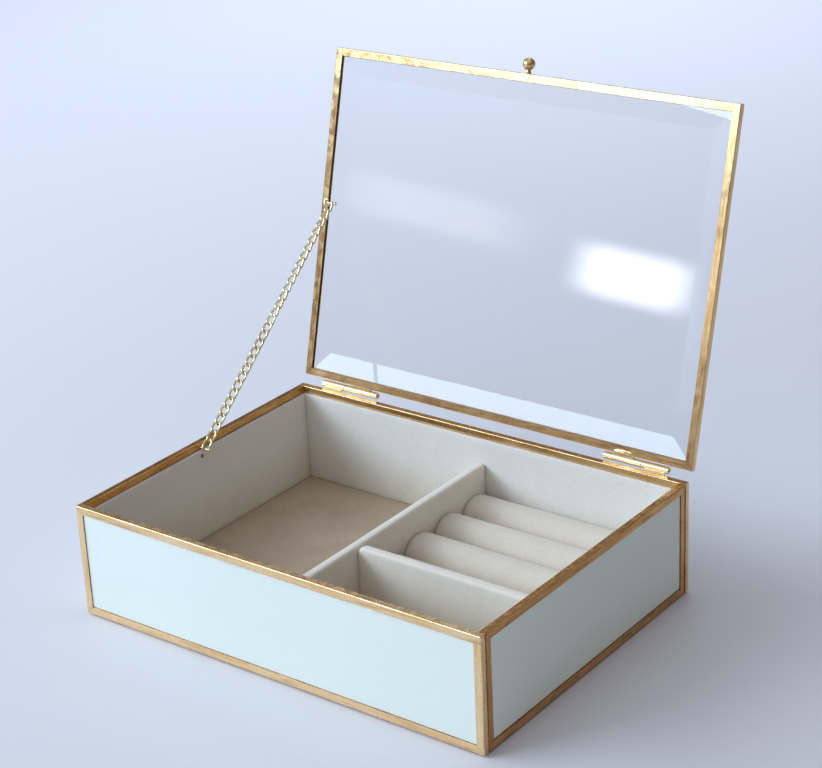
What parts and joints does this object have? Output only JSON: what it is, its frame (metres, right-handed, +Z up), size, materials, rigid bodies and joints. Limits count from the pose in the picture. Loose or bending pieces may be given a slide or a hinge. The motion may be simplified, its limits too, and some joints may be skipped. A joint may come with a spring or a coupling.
{
  "type": "glass jewellery box",
  "caption": "Low rectangular brass-framed glass jewellery box with a hinged bevelled glass lid on a stay chain, lined tray, dividers and ring rolls.",
  "frame": {"origin": "middle of the underside of the base, on the surface that the box stands on", "axes": "+X to the right along the front, +Y to the back where the hinges are, +Z up"},
  "size_m": [0.2, 0.1915, 0.2033],
  "materials": {
    "brass_came": "lacquered brass channel, softly brushed, worn and tinned at the mitres",
    "brass_hinge": "drawn brass tube, bright",
    "brass_knob": "turned and polished brass",
    "brass_chain": "pale yellow brass plate, polished",
    "milk_glass": "opal pale mint glass, softly mottled behind a glossy face",
    "clear_glass": "clear plate glass with a polished bevel",
    "velvet": "short cream velvet over board and foam",
    "felt": "thin black felt",
    "dark_rivet": "tarnished rivet head"
  },
  "bodies": {
    "base": {"front_came": "brass_came", "back_came": "brass_came", "left_came": "brass_came", "right_came": "brass_came", "bottom_came": "brass_came", "front_glass": "milk_glass", "back_glass": "milk_glass", "left_glass": "milk_glass", "right_glass": "milk_glass", "bottom_glass": "milk_glass", "base_felt": "felt", "lining_floor": "velvet", "lining_back": "velvet", "lining_front": "velvet", "lining_left": "velvet", "lining_right": "velvet", "lining_rivet": "dark_rivet", "long_divider": "velvet", "cross_divider": "velvet", "ring_roll_1": "velvet", "ring_roll_2": "velvet", "ring_roll_3": "velvet", "ring_roll_4": "velvet", "hinge_base_knuckle_left": "brass_hinge", "hinge_base_knuckle_right": "brass_hinge", "hinge_pin_left": "brass_hinge", "hinge_pin_right": "brass_hinge", "chain_stud_base": "brass_chain"},
    "lid": {"lid_came_front": "brass_came", "lid_came_right": "brass_came", "lid_came_back": "brass_came", "lid_came_left": "brass_came", "lid_glass": "clear_glass", "knob": "brass_knob", "knob_foot": "brass_knob", "hinge_lid_knuckle_left": "brass_hinge", "hinge_lid_knuckle_right": "brass_hinge", "chain_stud_lid": "brass_chain"},
    "chain_01_link": {"chain_01": "brass_chain"},
    "chain_02_link": {"chain_02": "brass_chain"},
    "chain_03_link": {"chain_03": "brass_chain"},
    "chain_04_link": {"chain_04": "brass_chain"},
    "chain_05_link": {"chain_05": "brass_chain"},
    "chain_06_link": {"chain_06": "brass_chain"},
    "chain_07_link": {"chain_07": "brass_chain"},
    "chain_08_link": {"chain_08": "brass_chain"},
    "chain_09_link": {"chain_09": "brass_chain"},
    "chain_10_link": {"chain_10": "brass_chain"},
    "chain_11_link": {"chain_11": "brass_chain"},
    "chain_12_link": {"chain_12": "brass_chain"},
    "chain_13_link": {"chain_13": "brass_chain"},
    "chain_14_link": {"chain_14": "brass_chain"},
    "chain_15_link": {"chain_15": "brass_chain"}
  },
  "joints": [
    {"name": "lid_hinge", "type": "hinge", "parent": "base", "child": "lid", "pos_m": [0, 0.0762, 0.0514], "axis": [1, 0, 0], "range_deg": [0, 104.3]},
    {"name": "chain_pivot_01", "type": "hinge", "parent": "base", "child": "chain_01_link", "pos_m": [-0.0936, -0.0015, 0.0483], "axis": [1, 0, 0], "range_deg": [-84.18, 0]},
    {"name": "chain_pivot_02", "type": "hinge", "parent": "chain_01_link", "child": "chain_02_link", "pos_m": [-0.0936, 0.0045, 0.0535], "axis": [1, 0, 0], "range_deg": [-2.83, 0]},
    {"name": "chain_pivot_03", "type": "hinge", "parent": "chain_02_link", "child": "chain_03_link", "pos_m": [-0.0936, 0.01081, 0.05897], "axis": [1, 0, 0], "range_deg": [-11.68, 0]},
    {"name": "chain_pivot_04", "type": "hinge", "parent": "chain_03_link", "child": "chain_04_link", "pos_m": [-0.0936, 0.01712, 0.06445], "axis": [1, 0, 0], "range_deg": [-26.96, 0]},
    {"name": "chain_pivot_05", "type": "hinge", "parent": "chain_04_link", "child": "chain_05_link", "pos_m": [-0.0936, 0.02343, 0.06992], "axis": [1, 0, 0], "range_deg": [-38.77, 0]},
    {"name": "chain_pivot_06", "type": "hinge", "parent": "chain_05_link", "child": "chain_06_link", "pos_m": [-0.0936, 0.02974, 0.07539], "axis": [1, 0, 0], "range_deg": [-38.79, 0]},
    {"name": "chain_pivot_07", "type": "hinge", "parent": "chain_06_link", "child": "chain_07_link", "pos_m": [-0.0936, 0.03605, 0.08086], "axis": [1, 0, 0], "range_deg": [-38.77, 0]},
    {"name": "chain_pivot_15", "type": "hinge", "parent": "lid", "child": "chain_15_link", "pos_m": [-0.0936, 0.09405, 0.13116], "axis": [1, 0, 0], "range_deg": [-134.98, 0]},
    {"name": "chain_pivot_14", "type": "hinge", "parent": "chain_15_link", "child": "chain_14_link", "pos_m": [-0.0936, 0.08805, 0.12596], "axis": [1, 0, 0], "range_deg": [0, 8.32]},
    {"name": "chain_pivot_13", "type": "hinge", "parent": "chain_14_link", "child": "chain_13_link", "pos_m": [-0.0936, 0.08174, 0.12049], "axis": [1, 0, 0], "range_deg": [0, 17.33]},
    {"name": "chain_pivot_12", "type": "hinge", "parent": "chain_13_link", "child": "chain_12_link", "pos_m": [-0.0936, 0.07543, 0.11502], "axis": [1, 0, 0], "range_deg": [0, 30.48]},
    {"name": "chain_pivot_11", "type": "hinge", "parent": "chain_12_link", "child": "chain_11_link", "pos_m": [-0.0936, 0.06913, 0.10954], "axis": [1, 0, 0], "range_deg": [0, 38.61]},
    {"name": "chain_pivot_10", "type": "hinge", "parent": "chain_11_link", "child": "chain_10_link", "pos_m": [-0.0936, 0.06281, 0.10407], "axis": [1, 0, 0], "range_deg": [0, 35.75]},
    {"name": "chain_pivot_09", "type": "hinge", "parent": "chain_10_link", "child": "chain_09_link", "pos_m": [-0.0936, 0.05651, 0.0986], "axis": [1, 0, 0], "range_deg": [0, 23.18]},
    {"name": "chain_pivot_08", "type": "hinge", "parent": "chain_09_link", "child": "chain_08_link", "pos_m": [-0.0936, 0.0502, 0.09313], "axis": [1, 0, 0], "range_deg": [0, 8.39]}
  ],
  "couplings": [
    {"joint": "chain_pivot_01", "follows": "lid_hinge", "ratio": -0.79129},
    {"joint": "chain_pivot_02", "follows": "lid_hinge", "ratio": -0.026577},
    {"joint": "chain_pivot_03", "follows": "lid_hinge", "ratio": -0.10979},
    {"joint": "chain_pivot_04", "follows": "lid_hinge", "ratio": -0.25344},
    {"joint": "chain_pivot_05", "follows": "lid_hinge", "ratio": -0.36439},
    {"joint": "chain_pivot_06", "follows": "lid_hinge", "ratio": -0.36462},
    {"joint": "chain_pivot_07", "follows": "lid_hinge", "ratio": -0.3644},
    {"joint": "chain_pivot_15", "follows": "lid_hinge", "ratio": -1.2687},
    {"joint": "chain_pivot_14", "follows": "lid_hinge", "ratio": 0.078169},
    {"joint": "chain_pivot_13", "follows": "lid_hinge", "ratio": 0.1629},
    {"joint": "chain_pivot_12", "follows": "lid_hinge", "ratio": 0.28648},
    {"joint": "chain_pivot_11", "follows": "lid_hinge", "ratio": 0.36296},
    {"joint": "chain_pivot_10", "follows": "lid_hinge", "ratio": 0.33604},
    {"joint": "chain_pivot_09", "follows": "lid_hinge", "ratio": 0.21793},
    {"joint": "chain_pivot_08", "follows": "lid_hinge", "ratio": 0.078849}
  ]
}
